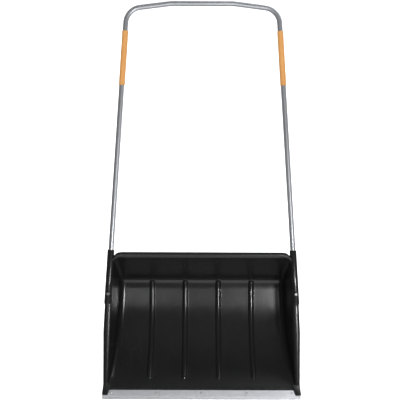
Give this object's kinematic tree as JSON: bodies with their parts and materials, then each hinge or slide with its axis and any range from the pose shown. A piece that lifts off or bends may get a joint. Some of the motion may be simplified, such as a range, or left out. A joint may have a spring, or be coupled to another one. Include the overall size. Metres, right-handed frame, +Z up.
{
  "type": "wheeled snow shovel",
  "caption": "Wide moulded snow pusher pan with a folded metal wear edge, a U-shaped tube handle with grip sleeves, and a wheel axle behind its heel.",
  "frame": {"origin": "on the ground, at the middle of the wear edge's flat underside", "axes": "+X across the pan to the right as seen from the front, +Y back from the wear edge towards the user, +Z up; the rim and the handle rise at 48 degrees towards +Y"},
  "size_m": [0.722, 1.0073, 1.0556],
  "materials": {
    "pan_plastic": "fine moulded grain, semi-matt black polypropylene",
    "edge_steel": "galvanised sheet, satin",
    "rivet_metal": "smooth domed heads",
    "handle_aluminium": "bare drawn tube, satin",
    "grip_orange": "soft matt sleeve",
    "zinc_steel": "zinc plated",
    "bracket_steel": "galvanised sheet",
    "axle_steel": "bright drawn bar",
    "cap_plastic": "moulded black",
    "wheel_plastic": "moulded dark grey",
    "tyre_rubber": "solid rubber",
    "bushing_nylon": "natural nylon"
  },
  "bodies": {
    "pusher": {"scoop_pan": "pan_plastic", "wear_edge": "edge_steel", "wear_edge_rivets": "rivet_metal", "handle_tube": "handle_aluminium", "left_grip": "grip_orange", "right_grip": "grip_orange", "handle_screws": "zinc_steel", "handle_washers": "zinc_steel", "handle_nuts": "zinc_steel", "left_axle_bracket": "bracket_steel", "right_axle_bracket": "bracket_steel", "bracket_screws": "zinc_steel", "wheel_axle": "axle_steel", "axle_spacers": "zinc_steel", "axle_washers": "zinc_steel", "axle_caps": "cap_plastic"},
    "left_wheel": {"left_wheel_rim": "wheel_plastic", "left_tyre": "tyre_rubber", "left_hub_bushings": "bushing_nylon"},
    "right_wheel": {"right_wheel_rim": "wheel_plastic", "right_tyre": "tyre_rubber", "right_hub_bushings": "bushing_nylon"}
  },
  "joints": [
    {"name": "left_wheel_spin", "type": "hinge", "parent": "pusher", "child": "left_wheel", "pos_m": [-0.246, 0.476, 0.08], "axis": [1, 0, 0], "continuous": true},
    {"name": "right_wheel_spin", "type": "hinge", "parent": "pusher", "child": "right_wheel", "pos_m": [0.246, 0.476, 0.08], "axis": [1, 0, 0], "continuous": true}
  ]
}
